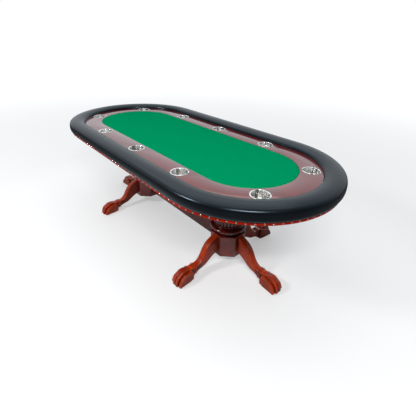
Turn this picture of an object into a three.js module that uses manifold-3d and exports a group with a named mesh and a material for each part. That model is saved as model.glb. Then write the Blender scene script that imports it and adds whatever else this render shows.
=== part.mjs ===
// A racetrack poker table on two turned pedestals with carved paw feet.
// Millimetres, +Z up, +X along the table. The origin is on the floor under the centre of the top.
import * as THREE from "three";
import { mergeVertices } from "three/addons/utils/BufferGeometryUtils.js";
import Module from "manifold-3d";

const wasm = await Module();
wasm.setup();

// Overall size, and the clearances between pieces.
const LENGTH = 2388;
const WIDTH = 1118;
const HEIGHT = 762;
const GAP = 0.3;
const SLIP = 1;

// Every ring and board of the top has the same straight sides and its own end radius.
const OUTER_RADIUS = WIDTH / 2;
const STRAIGHT = LENGTH / 2 - OUTER_RADIUS;
const END_STEPS = 28;

// End radii, from the outside in.
const BAND_RADIUS = OUTER_RADIUS - 16;
const BAND_THICKNESS = 10;
const CORE_OUTER_RADIUS = 535;
const CORE_INNER_RADIUS = 455;
const RAIL_INNER_RADIUS = 439;
const CUP_LINE_RADIUS = 373;
const CLOTH_RADIUS = 306;

// Levels of the top, from the underside up.
const DECK_LOW = 670;
const DECK_HIGH = 687.5;
const RISER_HIGH = 713;
const TRACK_HIGH = 731;
const CORE_HIGH = 710;
const FIELD_BOARD_HIGH = 722;
const FOAM_HIGH = 729.5;
const CLOTH_HIGH = 731.5;

// Cup holders: three on each side, two round each end.
const CUP_SIDE_SPACING = 479;
const CUP_END_ANGLE = THREE.MathUtils.degToRad(37.3);
const CUP_FLANGE_RADIUS = 54;
const CUP_RADIUS = 46;
const CUP_WALL = 1.5;
const CUP_DEPTH = 64;
const CUP_STEPS = 16;
const CUP_HOLE_RADIUS = CUP_RADIUS + 1.5;

// Pedestals.
const PEDESTAL_X = 517;
const BLOCK_FLATS = 228;
const BLOCK_LOW = 79;
const BLOCK_HIGH = 227;
const BLOCK_CHAMFER = 4;
const COLLAR_HIGH = 287;
const URN_HIGH = 500;
const PLATE_LOW = 645;
const PLATE_SIDE = 320;
const PLATE_CORNER = 40;
const TURNED_STEPS = 20;

// The steel rod that clamps a pedestal together.
const ROD_RADIUS = 6;
const ROD_BORE = 7.5;
const NUT_RADIUS = 12;
const NUT_HEIGHT = 10;
const NUT_POCKET = 15;
const ROD_STEPS = 8;

// Legs and paws. Side outlines are given as distance out from the pedestal's axis, and height.
const LEG_WIDTH = 44;
const PAW_LOW = 4;
const HEEL_WIDTH = 72;
const TOE_WIDTH = 20;
const TOE_ROOT = 362;
const TOE_REACH = 443;
const OUTER_TOE_REACH = 434;
const TOE_SPLAY = THREE.MathUtils.degToRad(3);
const GLIDE_RADIUS = 15;
const GLIDE_STEPS = 12;
const GLIDE_REACH = 385;
const LEG_ROOT = BLOCK_FLATS / 2 + GAP;

// Stretcher, battens and fasteners.
const STRETCHER_LOW = 113;
const STRETCHER_HIGH = 225;
const STRETCHER_THICKNESS = 40;
const BATTEN_Y = 185;
const BATTEN_LENGTH = 1760;
const BATTEN_THICKNESS = 30;
const BATTEN_HEIGHT = 34;
const BOLT_RADIUS = 4;
const BOLT_HEAD_RADIUS = 8;
const BOLT_HEAD_HEIGHT = 6;
const BOLT_BORE = 4.8;
const PLATE_BOLT_OFFSET = 130;
const PLATE_BOLT_END = 684;
const RAIL_BOLT_END = 706;
const RAIL_BOLT_RADIUS = (CORE_OUTER_RADIUS + CORE_INNER_RADIUS) / 2;

function finish(color, roughness, metalness = 0) {
  return new THREE.MeshStandardMaterial({ color, roughness, metalness });
}

const table = new THREE.Group();

function place(name, geometry, color, roughness, metalness) {
  const mesh = new THREE.Mesh(geometry, finish(color, roughness, metalness));
  mesh.name = name;
  table.add(mesh);
  return mesh;
}

const MAHOGANY = 0x5a120c;
const BRIGHT_MAHOGANY = 0x7d1a0e;
const PLYWOOD = 0xb08a5c;
const VINYL = 0x15181b;
const BAIZE = 0x05a065;
const FOAM = 0xd8d4c0;
const STAINLESS = 0xc9c9c6;
const ZINC = 0x9a9c9e;
const NYLON = 0x4a4a4a;

// ---- Joining and cutting ----

function solidOf(geometry) {
  const bare = geometry.clone();
  bare.deleteAttribute("normal");
  bare.deleteAttribute("uv");
  const merged = mergeVertices(bare, 1e-3);
  const mesh = new wasm.Mesh({
    numProp: 3,
    vertProperties: merged.getAttribute("position").array,
    triVerts: new Uint32Array(merged.index.array),
  });
  return new wasm.Manifold(mesh);
}

function geometryOf(solid) {
  const mesh = solid.getMesh();
  const geometry = new THREE.BufferGeometry();
  geometry.setAttribute("position", new THREE.BufferAttribute(mesh.vertProperties, 3));
  geometry.setIndex(new THREE.BufferAttribute(mesh.triVerts, 1));
  geometry.computeVertexNormals();
  return geometry;
}

function joined(geometries) {
  return geometryOf(geometries.map(solidOf).reduce((sum, next) => sum.add(next)));
}

function drilled(geometry, cutters) {
  return geometryOf(cutters.map(solidOf).reduce((rest, next) => rest.subtract(next), solidOf(geometry)));
}

// ---- Basic forms ----

function points(...pairs) {
  return pairs.map(([x, y]) => new THREE.Vector2(x, y));
}

// A profile of radius and height turned about the vertical axis.
function turned(profile, steps = TURNED_STEPS) {
  return new THREE.LatheGeometry(profile, steps).rotateX(Math.PI / 2);
}

function rod(x, y, low, high, radius, steps = ROD_STEPS) {
  const geometry = new THREE.CylinderGeometry(radius, radius, high - low, steps);
  return geometry.rotateX(Math.PI / 2).translate(x, y, (low + high) / 2);
}

function racetrackPath(radius, path) {
  path.absarc(STRAIGHT, 0, radius, -Math.PI / 2, Math.PI / 2, false);
  path.absarc(-STRAIGHT, 0, radius, Math.PI / 2, Math.PI * 1.5, false);
  path.closePath();
  return path;
}

// A flat board with the racetrack outline, and an opening of the same form where inner is given.
// An arc is drawn with two steps for each curve segment.
function board(radius, low, high, inner = 0) {
  const shape = racetrackPath(radius, new THREE.Shape());
  if (inner > 0) shape.holes.push(racetrackPath(inner, new THREE.Path()));
  const options = { depth: high - low, bevelEnabled: false, curveSegments: END_STEPS / 2 };
  return new THREE.ExtrudeGeometry(shape, options).translate(0, 0, low);
}

// A closed section swept round the racetrack line: a lathe whose two halves are pulled apart along X.
function ring(section) {
  const closed = [...section, section[0]];
  const turns = 2 * END_STEPS + 2;
  const geometry = new THREE.LatheGeometry(closed, turns);
  const position = geometry.getAttribute("position");
  for (let turn = 0; turn <= turns; turn++) {
    const far = turn > END_STEPS && turn < turns;
    const step = far ? turn - 1 : turn % turns;
    const angle = (step * Math.PI) / END_STEPS;
    const shift = far ? -STRAIGHT : STRAIGHT;
    closed.forEach(({ x: radius, y: height }, corner) => {
      const x = shift + radius * Math.sin(angle);
      const y = -radius * Math.cos(angle);
      position.setXYZ(turn * closed.length + corner, x, y, height);
    });
  }
  geometry.computeVertexNormals();
  return geometry;
}

// A side outline of (distance out, height), given a width across and centred on the X axis.
function slab(shape, width, bevel, curveSegments) {
  const geometry = new THREE.ExtrudeGeometry(shape, {
    depth: width - 2 * bevel,
    bevelSize: bevel,
    bevelOffset: -bevel,
    bevelThickness: bevel,
    bevelSegments: 1,
    curveSegments,
  });
  return geometry.rotateX(Math.PI / 2).translate(0, width / 2 - bevel, 0);
}

// ---- The top ----

function cupPlaces() {
  const places = [];
  for (const side of [-1, 1]) {
    for (const along of [-1, 0, 1]) {
      places.push([along * CUP_SIDE_SPACING, side * CUP_LINE_RADIUS]);
    }
  }
  const endX = STRAIGHT + CUP_LINE_RADIUS * Math.cos(CUP_END_ANGLE);
  const endY = CUP_LINE_RADIUS * Math.sin(CUP_END_ANGLE);
  for (const end of [-1, 1]) {
    for (const side of [-1, 1]) places.push([end * endX, side * endY]);
  }
  return places;
}

function railBoltPlaces() {
  const places = [];
  for (const side of [-1, 1]) {
    for (const along of [-1, 1]) {
      places.push([(along * STRAIGHT) / 2, side * RAIL_BOLT_RADIUS]);
    }
    places.push([side * (STRAIGHT + RAIL_BOLT_RADIUS), 0]);
  }
  return places;
}

function plateBoltPlaces(centre) {
  const places = [];
  for (const side of [-1, 1]) {
    for (const end of [-1, 1]) {
      places.push([centre + end * PLATE_BOLT_OFFSET, side * PLATE_BOLT_OFFSET]);
    }
  }
  return places;
}

function cupHoles(low, high) {
  return cupPlaces().map(([x, y]) => rod(x, y, low - SLIP, high + SLIP, CUP_HOLE_RADIUS, CUP_STEPS));
}

function boltHoles(places, low, high) {
  return places.map(([x, y]) => rod(x, y, low, high, BOLT_BORE));
}

const plateBolts = [...plateBoltPlaces(-PEDESTAL_X), ...plateBoltPlaces(PEDESTAL_X)];
const bandInner = BAND_RADIUS - BAND_THICKNESS;

function makeDeck() {
  const deckHoles = [
    ...cupHoles(DECK_LOW, DECK_HIGH),
    ...boltHoles(railBoltPlaces(), DECK_LOW - SLIP, DECK_HIGH + SLIP),
    ...boltHoles(plateBolts, DECK_LOW - SLIP, DECK_HIGH + SLIP),
    ...[-PEDESTAL_X, PEDESTAL_X].map((x) => rod(x, 0, DECK_LOW - SLIP, PLATE_BOLT_END, ROD_BORE)),
  ];
  place("deck_board", drilled(board(bandInner - GAP, DECK_LOW, DECK_HIGH), deckHoles), PLYWOOD, 0.7);
  const band = points(
    [bandInner, DECK_LOW],
    [BAND_RADIUS - 1, DECK_LOW],
    [BAND_RADIUS, DECK_LOW + 1],
    [BAND_RADIUS, DECK_HIGH - 1],
    [BAND_RADIUS - 1, DECK_HIGH],
    [bandInner, DECK_HIGH],
  );
  place("edge_band", ring(band), BRIGHT_MAHOGANY, 0.25);
  const riserLow = DECK_HIGH + GAP;
  const riser = board(RAIL_INNER_RADIUS - SLIP, riserLow, RISER_HIGH);
  place("riser_board", drilled(riser, cupHoles(riserLow, RISER_HIGH)), PLYWOOD, 0.7);
}

function makeRacetrack() {
  const low = RISER_HIGH + GAP;
  const blank = board(RAIL_INNER_RADIUS - SLIP, low, TRACK_HIGH, CLOTH_RADIUS + SLIP);
  place("racetrack", drilled(blank, cupHoles(low, TRACK_HIGH)), MAHOGANY, 0.12);
}

function makePlayfield() {
  const boardLow = RISER_HIGH + GAP;
  place("playfield_board", board(CLOTH_RADIUS - 2, boardLow, FIELD_BOARD_HIGH), PLYWOOD, 0.7);
  place("playfield_foam", board(CLOTH_RADIUS - 2, FIELD_BOARD_HIGH + GAP, FOAM_HIGH), FOAM, 0.95);
  place("playfield_cloth", board(CLOTH_RADIUS, FOAM_HIGH + GAP, CLOTH_HIGH), BAIZE, 0.9);
}

function makeRail() {
  const low = DECK_HIGH + GAP;
  const core = points(
    [CORE_INNER_RADIUS, low],
    [CORE_OUTER_RADIUS, low],
    [CORE_OUTER_RADIUS, CORE_HIGH],
    [CORE_INNER_RADIUS, CORE_HIGH],
  );
  const sockets = boltHoles(railBoltPlaces(), low - SLIP, RAIL_BOLT_END + SLIP);
  place("rail_core", drilled(ring(core), sockets), PLYWOOD, 0.7);
  const outerFoot = CORE_OUTER_RADIUS + SLIP;
  const innerFoot = CORE_INNER_RADIUS - SLIP;
  const socket = CORE_HIGH + SLIP;
  const pad = points(
    [outerFoot, low],
    [OUTER_RADIUS - 11, low],
    [OUTER_RADIUS - 3, low + 12],
    [OUTER_RADIUS, low + 28],
    [OUTER_RADIUS - 4, HEIGHT - 30],
    [OUTER_RADIUS - 18, HEIGHT - 12],
    [OUTER_RADIUS - 40, HEIGHT - 2],
    [OUTER_RADIUS - 62, HEIGHT],
    [RAIL_INNER_RADIUS + 26, HEIGHT - 4],
    [RAIL_INNER_RADIUS + 8, HEIGHT - 14],
    [RAIL_INNER_RADIUS, HEIGHT - 30],
    [RAIL_INNER_RADIUS, low],
    [innerFoot, low],
    [innerFoot, socket],
    [outerFoot, socket],
  );
  place("rail_pad", ring(pad), VINYL, 0.35);
}

function makeCupHolders() {
  const flange = TRACK_HIGH + GAP;
  const floor = flange - CUP_DEPTH;
  const profile = points(
    [0, floor],
    [CUP_RADIUS - 4, floor],
    [CUP_RADIUS, floor + 5],
    [CUP_RADIUS, flange],
    [CUP_FLANGE_RADIUS, flange],
    [CUP_FLANGE_RADIUS, flange + CUP_WALL],
    [CUP_RADIUS - CUP_WALL, flange + CUP_WALL],
    [CUP_RADIUS - CUP_WALL, floor + 5],
    [CUP_RADIUS - 4, floor + CUP_WALL],
    [0, floor + CUP_WALL],
  );
  cupPlaces().forEach(([x, y], index) => {
    const mesh = place(`cup_holder_${index + 1}`, turned(profile, CUP_STEPS), STAINLESS, 0.2, 1);
    mesh.position.set(x, y, 0);
  });
}

// ---- The pedestals ----

function makeBlock(side) {
  const across = (apothem) => apothem / Math.cos(Math.PI / 8);
  const face = across(BLOCK_FLATS / 2);
  const eased = across(BLOCK_FLATS / 2 - BLOCK_CHAMFER);
  const profile = points(
    [0, BLOCK_LOW],
    [eased, BLOCK_LOW],
    [face, BLOCK_LOW + BLOCK_CHAMFER],
    [face, BLOCK_HIGH - BLOCK_CHAMFER],
    [eased, BLOCK_HIGH],
    [0, BLOCK_HIGH],
  );
  const octagon = turned(profile, 8).rotateZ(Math.PI / 8);
  const bores = [
    rod(0, 0, BLOCK_LOW - SLIP, BLOCK_LOW + NUT_POCKET, NUT_RADIUS + SLIP),
    rod(0, 0, BLOCK_LOW, BLOCK_HIGH + SLIP, ROD_BORE),
  ];
  return place(`${side}_block`, drilled(octagon, bores), MAHOGANY, 0.2);
}

function boredTurning(profile) {
  const bored = points([ROD_BORE, profile[0].y], [ROD_BORE, profile.at(-1).y]);
  return turned([bored[0], ...profile, bored[1], bored[0]]);
}

function makeCollar(side) {
  const low = BLOCK_HIGH + GAP;
  const profile = points(
    [84, low],
    [96, low + 6],
    [101, low + 13],
    [97, low + 19],
    [112, low + 22],
    [122, low + 28],
    [123.5, low + 35],
    [119, low + 43],
    [106, low + 48],
    [97, low + 52],
    [100, COLLAR_HIGH],
  );
  return place(`${side}_collar`, boredTurning(profile), MAHOGANY, 0.2);
}

function makeUrn(side) {
  const low = COLLAR_HIGH + GAP;
  const profile = points(
    [98, low],
    [103, low + 8],
    [113, low + 55],
    [119, low + 110],
    [117, low + 150],
    [104, URN_HIGH - 24],
    [84, URN_HIGH - 6],
    [80, URN_HIGH],
  );
  return place(`${side}_urn`, boredTurning(profile), MAHOGANY, 0.2);
}

function makeCapital(side) {
  const low = URN_HIGH + GAP;
  const high = PLATE_LOW - GAP;
  const profile = points(
    [78, low],
    [88, low + 6],
    [90, low + 13],
    [82, low + 20],
    [64, low + 26],
    [58, low + 42],
    [62, high - 66],
    [80, high - 44],
    [104, high - 32],
    [112, high - 26],
    [112, high - 18],
    [126, high - 14],
    [130, high - 7],
    [128, high],
  );
  return place(`${side}_capital`, boredTurning(profile), MAHOGANY, 0.2);
}

function makePlate(side, centre) {
  const half = PLATE_SIDE / 2;
  const inset = half - PLATE_CORNER;
  const shape = new THREE.Shape(
    points(
      [-inset, -half],
      [inset, -half],
      [half, -inset],
      [half, inset],
      [inset, half],
      [-inset, half],
      [-half, inset],
      [-half, -inset],
    ),
  );
  const depth = DECK_LOW - GAP - PLATE_LOW;
  const plate = new THREE.ExtrudeGeometry(shape, { depth, bevelEnabled: false }).translate(0, 0, PLATE_LOW);
  const holes = boltHoles(plateBoltPlaces(0), PLATE_LOW - SLIP, DECK_LOW + SLIP);
  const bore = rod(0, 0, PLATE_LOW - SLIP, DECK_LOW + SLIP, ROD_BORE);
  const mesh = place(`${side}_top_plate`, drilled(plate, [...holes, bore]), MAHOGANY, 0.3);
  mesh.position.x = centre;
}

function makeTieRod(side) {
  const low = BLOCK_LOW + 3;
  const shaft = rod(0, 0, low, DECK_LOW + NUT_HEIGHT, ROD_RADIUS);
  const seat = BLOCK_LOW + NUT_POCKET - GAP;
  const nut = rod(0, 0, seat - NUT_HEIGHT, seat, NUT_RADIUS, 6);
  return place(`${side}_tie_rod`, joined([shaft, nut]), ZINC, 0.35, 1);
}

function makePedestal(side, centre) {
  for (const make of [makeBlock, makeCollar, makeUrn, makeCapital, makeTieRod]) {
    make(side).position.x = centre;
  }
  makePlate(side, centre);
}

// ---- Legs and paws ----

function legOutline() {
  const shape = new THREE.Shape();
  shape.moveTo(LEG_ROOT, 105);
  shape.bezierCurveTo(190, 95, 190, 50, 262, 42);
  shape.lineTo(330, 22);
  shape.lineTo(350, 80);
  shape.bezierCurveTo(320, 92, 300, 76, 276, 80);
  shape.bezierCurveTo(236, 92, 214, 190, 142, 212);
  shape.lineTo(LEG_ROOT, 223);
  shape.closePath();
  return shape;
}

function heelOutline() {
  const shape = new THREE.Shape();
  shape.moveTo(320, PAW_LOW);
  shape.lineTo(404, PAW_LOW);
  shape.lineTo(412, 70);
  shape.bezierCurveTo(396, 90, 352, 92, 334, 78);
  shape.lineTo(316, 48);
  shape.closePath();
  return shape;
}

function toeOutline(reach) {
  const shape = new THREE.Shape();
  shape.moveTo(TOE_ROOT, PAW_LOW);
  shape.lineTo(reach - 4, PAW_LOW);
  shape.bezierCurveTo(reach + 3, 22, reach - 1, 48, reach - 14, 66);
  shape.bezierCurveTo(reach - 30, 90, 392, 92, TOE_ROOT, 90);
  shape.closePath();
  return shape;
}

// One leg with its paw, pointing along +X from the pedestal's axis.
function leg() {
  const pieces = [slab(legOutline(), LEG_WIDTH, 3, 5), slab(heelOutline(), HEEL_WIDTH, 8, 2)];
  for (const step of [-1.5, -0.5, 0.5, 1.5]) {
    const reach = Math.abs(step) > 1 ? OUTER_TOE_REACH : TOE_REACH;
    const toe = slab(toeOutline(reach), TOE_WIDTH + SLIP, 4, 2).translate(-TOE_ROOT, 0, 0);
    pieces.push(toe.rotateZ(step * TOE_SPLAY).translate(TOE_ROOT, step * TOE_WIDTH, 0));
  }
  return joined(pieces);
}

function makeLegs(side, centre, directions) {
  const geometry = leg();
  const glideHigh = PAW_LOW - GAP;
  const glideProfile = points([0, 0], [GLIDE_RADIUS, 0], [GLIDE_RADIUS, glideHigh], [0, glideHigh]);
  for (const [direction, angle] of Object.entries(directions)) {
    const oneLeg = place(`${side}_leg_${direction}`, geometry.clone(), MAHOGANY, 0.2);
    oneLeg.position.x = centre;
    oneLeg.rotation.z = angle;
    const glide = place(`${side}_glide_${direction}`, turned(glideProfile, GLIDE_STEPS), NYLON, 0.8);
    glide.position.set(centre + GLIDE_REACH * Math.cos(angle), GLIDE_REACH * Math.sin(angle), 0);
  }
}

// ---- Stretcher, battens and fasteners ----

function makeStretcher() {
  const length = 2 * (PEDESTAL_X - BLOCK_FLATS / 2 - GAP);
  const half = STRETCHER_THICKNESS / 2;
  const shape = new THREE.Shape(
    points(
      [-half + 2, STRETCHER_LOW],
      [half - 2, STRETCHER_LOW],
      [half, STRETCHER_LOW + 2],
      [half, STRETCHER_HIGH - 5],
      [half - 5, STRETCHER_HIGH],
      [-half + 5, STRETCHER_HIGH],
      [-half, STRETCHER_HIGH - 5],
      [-half, STRETCHER_LOW + 2],
    ),
  );
  const beam = new THREE.ExtrudeGeometry(shape, { depth: length, bevelEnabled: false });
  beam.translate(0, 0, -length / 2).rotateX(Math.PI / 2).rotateZ(Math.PI / 2);
  place("stretcher", beam, MAHOGANY, 0.2);
}

function makeBattens() {
  const high = DECK_LOW - GAP;
  for (const [name, side] of Object.entries({ front: -1, back: 1 })) {
    const batten = new THREE.BoxGeometry(BATTEN_LENGTH, BATTEN_THICKNESS, BATTEN_HEIGHT);
    const mesh = place(`deck_batten_${name}`, batten, PLYWOOD, 0.7);
    mesh.position.set(0, side * BATTEN_Y, high - BATTEN_HEIGHT / 2);
  }
}

function makeBolts(prefix, places, seat, end) {
  places.forEach(([x, y], index) => {
    const head = rod(x, y, seat - GAP - BOLT_HEAD_HEIGHT, seat - GAP, BOLT_HEAD_RADIUS, 6);
    const shaft = rod(x, y, seat - BOLT_HEAD_HEIGHT, end, BOLT_RADIUS, 8);
    place(`${prefix}_${index + 1}`, joined([head, shaft]), ZINC, 0.35, 1);
  });
}

makeDeck();
makeRacetrack();
makePlayfield();
makeRail();
makeCupHolders();
makePedestal("left", -PEDESTAL_X);
makePedestal("right", PEDESTAL_X);
makeLegs("left", -PEDESTAL_X, { front: -Math.PI / 2, back: Math.PI / 2, outer: Math.PI });
makeLegs("right", PEDESTAL_X, { front: -Math.PI / 2, back: Math.PI / 2, outer: 0 });
makeStretcher();
makeBattens();
makeBolts("plate_bolt", plateBolts, PLATE_LOW, PLATE_BOLT_END);
makeBolts("rail_bolt", railBoltPlaces(), DECK_LOW, RAIL_BOLT_END);

export default table;
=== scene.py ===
import math

import bmesh
import bpy
from mathutils import Matrix, Vector


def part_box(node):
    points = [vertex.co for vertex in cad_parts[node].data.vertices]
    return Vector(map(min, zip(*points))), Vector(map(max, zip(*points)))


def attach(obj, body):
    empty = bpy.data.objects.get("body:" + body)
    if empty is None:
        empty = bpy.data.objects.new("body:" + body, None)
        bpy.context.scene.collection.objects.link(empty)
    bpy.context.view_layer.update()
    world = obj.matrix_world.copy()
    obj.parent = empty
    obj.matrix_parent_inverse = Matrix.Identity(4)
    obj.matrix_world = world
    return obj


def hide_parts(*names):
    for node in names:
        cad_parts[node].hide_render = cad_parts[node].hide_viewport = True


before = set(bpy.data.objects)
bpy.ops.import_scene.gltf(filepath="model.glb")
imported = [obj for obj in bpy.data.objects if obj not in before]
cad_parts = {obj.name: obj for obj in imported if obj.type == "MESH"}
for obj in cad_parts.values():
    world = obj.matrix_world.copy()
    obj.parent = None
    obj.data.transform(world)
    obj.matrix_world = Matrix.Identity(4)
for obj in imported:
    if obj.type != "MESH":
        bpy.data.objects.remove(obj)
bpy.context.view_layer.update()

MM = 0.001
MERGED = 0.01 * MM
EASED_ANGLE = math.radians(40)

# The top's rings share their straight sides. Each has its own end radius.
RAIL_LOW, RAIL_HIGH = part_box("rail_pad")
RAIL_RADIUS = RAIL_HIGH.y
STRAIGHT = RAIL_HIGH.x - RAIL_RADIUS
BAND_LOW, BAND_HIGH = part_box("edge_band")
TRACK_LOW, TRACK_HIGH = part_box("racetrack")
CLOTH_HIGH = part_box("playfield_cloth")[1]
FOAM_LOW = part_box("playfield_foam")[0]
END_STEPS = 72
SIDE_STEPS = 6

# Outlines are drawn in millimetres, so the sizes that they use are too.
CORE_CHANNEL = 82
CLOTH_THICKNESS = 0.8 * MM
CUP_COUNT = 10
CUP_STEPS = 64
CUP_HOLE_RADIUS = 47.5 * MM
CUP_HOLE_DEPTH = 60 * MM

NAIL_COUNT = 143
NAIL_START = 0.16
NAIL_RADIUS = 4.6 * MM
NAIL_HEIGHT = 2.4 * MM

TURNED_STEPS = 96
TURNED_BORE = 8 * MM
FLUTES = 28
FLUTE_COLUMNS = 8
FLUTE_STEP = 2 * math.pi / (FLUTES * FLUTE_COLUMNS)
FLUTE_DEPTH = 0.062
FLUTE_LOW = 1 * MM
FLUTE_HIGH = 182 * MM
FLUTE_END = 7 * MM
URN_INSIDE = 50 * MM

BLOCK_EASE = 3 * MM
BLOCK_END_BORDER = 6 * MM
BLOCK_END_SINK = 0.01 * MM
BLOCK_BORE = 7.5 * MM
BLOCK_BORE_DEPTH = 400 * MM
NUT_WELL_RADIUS = 13 * MM
NUT_WELL_DEPTH = 36 * MM
BLOCK_HOLE_SIDES = 24

# The root, and the ankle rings' place and lower and upper height, are in millimetres.
LEG_ROOT = 114.3
ANKLE_RINGS = ((306, 24, 86), (293, 27, 84))
LEG_WIDTH = 44 * MM
HEEL_WIDTH = 68 * MM
TOE_WIDTH = 18 * MM
TOE_SPACING = 20 * MM
TOE_SPLAY = math.radians(3)
TOE_PIVOT = Vector((362 * MM, 0, 0))
ANKLE_RING_LENGTH = 6 * MM
ANKLE_RING_WIDTH = 51 * MM
PAW_VOXEL = 1.6 * MM

# Degrees from +X: the outer leg of each side, then the legs that are the same on both.
SIDES = {"left": 180, "right": 0}
LEG_TURNS = {"front": -90, "back": 90}


# ---- Selecting, shaping and finishing ----

def only(piece):
    """Makes a piece the only one selected, and the active one."""
    bpy.ops.object.select_all(action="DESELECT")
    piece.select_set(True)
    bpy.context.view_layer.objects.active = piece


def pick(piece, kind, wanted):
    """In edit mode, selects the vertices, edges or faces that are wanted, and nothing else."""
    bpy.ops.mesh.select_mode(type=kind)
    bpy.ops.mesh.select_all(action="DESELECT")
    form = bmesh.from_edit_mesh(piece.data)
    parts = {"VERT": form.verts, "EDGE": form.edges, "FACE": form.faces}[kind]
    for part in parts:
        if wanted(part):
            part.select_set(True)
    form.select_flush_mode()
    bmesh.update_edit_mesh(piece.data)


def close_form():
    """Merges the doubles, turns the faces outwards and leaves edit mode."""
    bpy.ops.mesh.select_all(action="SELECT")
    bpy.ops.mesh.remove_doubles(threshold=MERGED)
    bpy.ops.mesh.normals_make_consistent(inside=False)
    bpy.ops.object.mode_set(mode="OBJECT")


def apply_modifier(piece, kind, **settings):
    only(piece)
    bpy.ops.object.modifier_add(type=kind)
    modifier = piece.modifiers[-1]
    for setting, value in settings.items():
        setattr(modifier, setting, value)
    bpy.ops.object.modifier_apply(modifier=modifier.name)


def ease_edges(piece, width, segments):
    apply_modifier(
        piece, "BEVEL", width=width, segments=segments, limit_method="ANGLE",
        angle_limit=EASED_ANGLE, harden_normals=False,
    )


def cut(piece, cutter, operation="DIFFERENCE"):
    """Cuts a piece by another, or joins them, and takes the other away."""
    apply_modifier(piece, "BOOLEAN", operation=operation, object=cutter, solver="EXACT")
    bpy.data.objects.remove(cutter)


def drill(piece, place, radius, depth, sides):
    """Takes a round upright hole out of a piece."""
    bpy.ops.object.select_all(action="DESELECT")
    bpy.ops.mesh.primitive_cylinder_add(vertices=sides, radius=radius, depth=depth, location=place)
    cut(piece, bpy.context.object)


def joined(pieces, name):
    only(pieces[0])
    for piece in pieces:
        piece.select_set(True)
    bpy.ops.object.join()
    pieces[0].name = name
    return pieces[0]


def copied(piece, name, move):
    """A copy with a mesh of its own, its place in the mesh."""
    twin = piece.copy()
    twin.data = piece.data.copy()
    twin.data.transform(move)
    twin.name = name
    bpy.context.collection.objects.link(twin)
    return twin


def complete(piece, body, material, replaced=(), smooth=35):
    """Smooth shading, finish, body and the CAD nodes that the piece stands for."""
    only(piece)
    bpy.ops.object.shade_smooth_by_angle(angle=math.radians(smooth))
    piece.data.materials.clear()
    piece.data.materials.append(material)
    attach(piece, body)
    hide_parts(*replaced)


# ---- Outlines ----

def flowing(points, steps):
    """A smooth line through the points of an outline."""
    ends = [points[0], *points, points[-1]]
    line = []
    for before, start, end, after in zip(ends, ends[1:], ends[2:], ends[3:]):
        for step in range(steps):
            t = step / steps
            line.append(tuple(
                0.5 * (2 * s + (e - b) * t + (2 * b - 5 * s + 4 * e - a) * t ** 2
                       + (3 * s - b - 3 * e + a) * t ** 3)
                for b, s, e, a in zip(before, start, end, after)
            ))
    return [*line, points[-1]]


def outline(*runs, steps=4):
    """Smooth runs of points, in millimetres, that meet at corners. Gives metres."""
    line = []
    for run in runs:
        smooth = flowing(run, steps) if len(run) > 2 else list(run)
        line.extend(smooth if not line else smooth[1:])
    return [(across * MM, up * MM) for across, up in line]


def drawn(name, corners):
    """A wire from corner to corner, drawn from a plane merged to a point, left in edit mode."""
    bpy.ops.object.select_all(action="DESELECT")
    bpy.ops.mesh.primitive_plane_add(size=10 * MM, location=(0, 0, 0))
    piece = bpy.context.object
    piece.name = name
    piece.data.name = name
    bpy.ops.object.mode_set(mode="EDIT")
    bpy.ops.mesh.select_mode(type="VERT")
    bpy.ops.mesh.select_all(action="SELECT")
    bpy.ops.mesh.merge(type="CENTER")
    bpy.ops.transform.translate(value=corners[0])
    for start, end in zip(corners, corners[1:]):
        bpy.ops.mesh.extrude_vertices_move(TRANSFORM_OT_translate={"value": end - start})
    return piece


def turned(name, profile, steps, x=0):
    """A profile of radius and height, turned about a vertical axis."""
    piece = drawn(name, [Vector((x + radius, 0, height)) for radius, height in profile])
    bpy.ops.mesh.select_all(action="SELECT")
    bpy.ops.mesh.spin(steps=steps, angle=2 * math.pi, center=(x, 0, 0), axis=(0, 0, 1))
    close_form()
    return piece


def swept(name, section):
    """A section of end radius and height, swept round the racetrack line, left in edit mode."""
    piece = drawn(name, [Vector((STRAIGHT, -radius, height)) for radius, height in section])
    bpy.ops.mesh.select_all(action="SELECT")
    for end in (1, -1):
        centre = (end * STRAIGHT, 0, 0)
        bpy.ops.mesh.spin(steps=END_STEPS, angle=-math.pi, center=centre, axis=(0, 0, 1))
        stretch = (-end * 2 * STRAIGHT / SIDE_STEPS, 0, 0)
        for _ in range(SIDE_STEPS):
            bpy.ops.mesh.extrude_region_move(TRANSFORM_OT_translate={"value": stretch})
    return piece


def ring(name, section):
    """A closed section swept round the racetrack line."""
    piece = swept(name, section)
    close_form()
    return piece


def slab(name, profile, width):
    """A side outline of distance out and height, given a width across the X axis."""
    piece = drawn(name, [Vector((out, -width / 2, up)) for out, up in profile])
    bpy.ops.mesh.select_all(action="SELECT")
    bpy.ops.mesh.remove_doubles(threshold=MERGED)
    bpy.ops.mesh.edge_face_add()
    bpy.ops.mesh.extrude_region_move(TRANSFORM_OT_translate={"value": (0, width, 0)})
    close_form()
    return piece


def cuboid(name, middle, size):
    """A cube shaped to a size about its middle, left in edit mode."""
    bpy.ops.object.select_all(action="DESELECT")
    bpy.ops.mesh.primitive_cube_add(size=1, location=middle)
    piece = bpy.context.object
    piece.name = name
    bpy.ops.object.mode_set(mode="EDIT")
    bpy.ops.mesh.select_all(action="SELECT")
    bpy.ops.transform.resize(value=size, center_override=middle)
    return piece


def settle():
    """Leaves edit mode, with the piece's place put in its mesh."""
    bpy.ops.object.mode_set(mode="OBJECT")
    bpy.ops.object.transform_apply(location=True, rotation=True, scale=True)


# ---- Shader node helpers ----

def feed(tree, value, socket):
    """Links a socket to another, or sets it to a constant."""
    if isinstance(value, bpy.types.NodeSocket):
        tree.links.new(value, socket)
    else:
        socket.default_value = value


def node(tree, kind, inputs=None, **settings):
    """A node with its settings, and each input linked or set."""
    made = tree.nodes.new(kind)
    for setting, value in settings.items():
        setattr(made, setting, value)
    for socket, value in (inputs or {}).items():
        feed(tree, value, made.inputs[socket])
    return made


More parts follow.
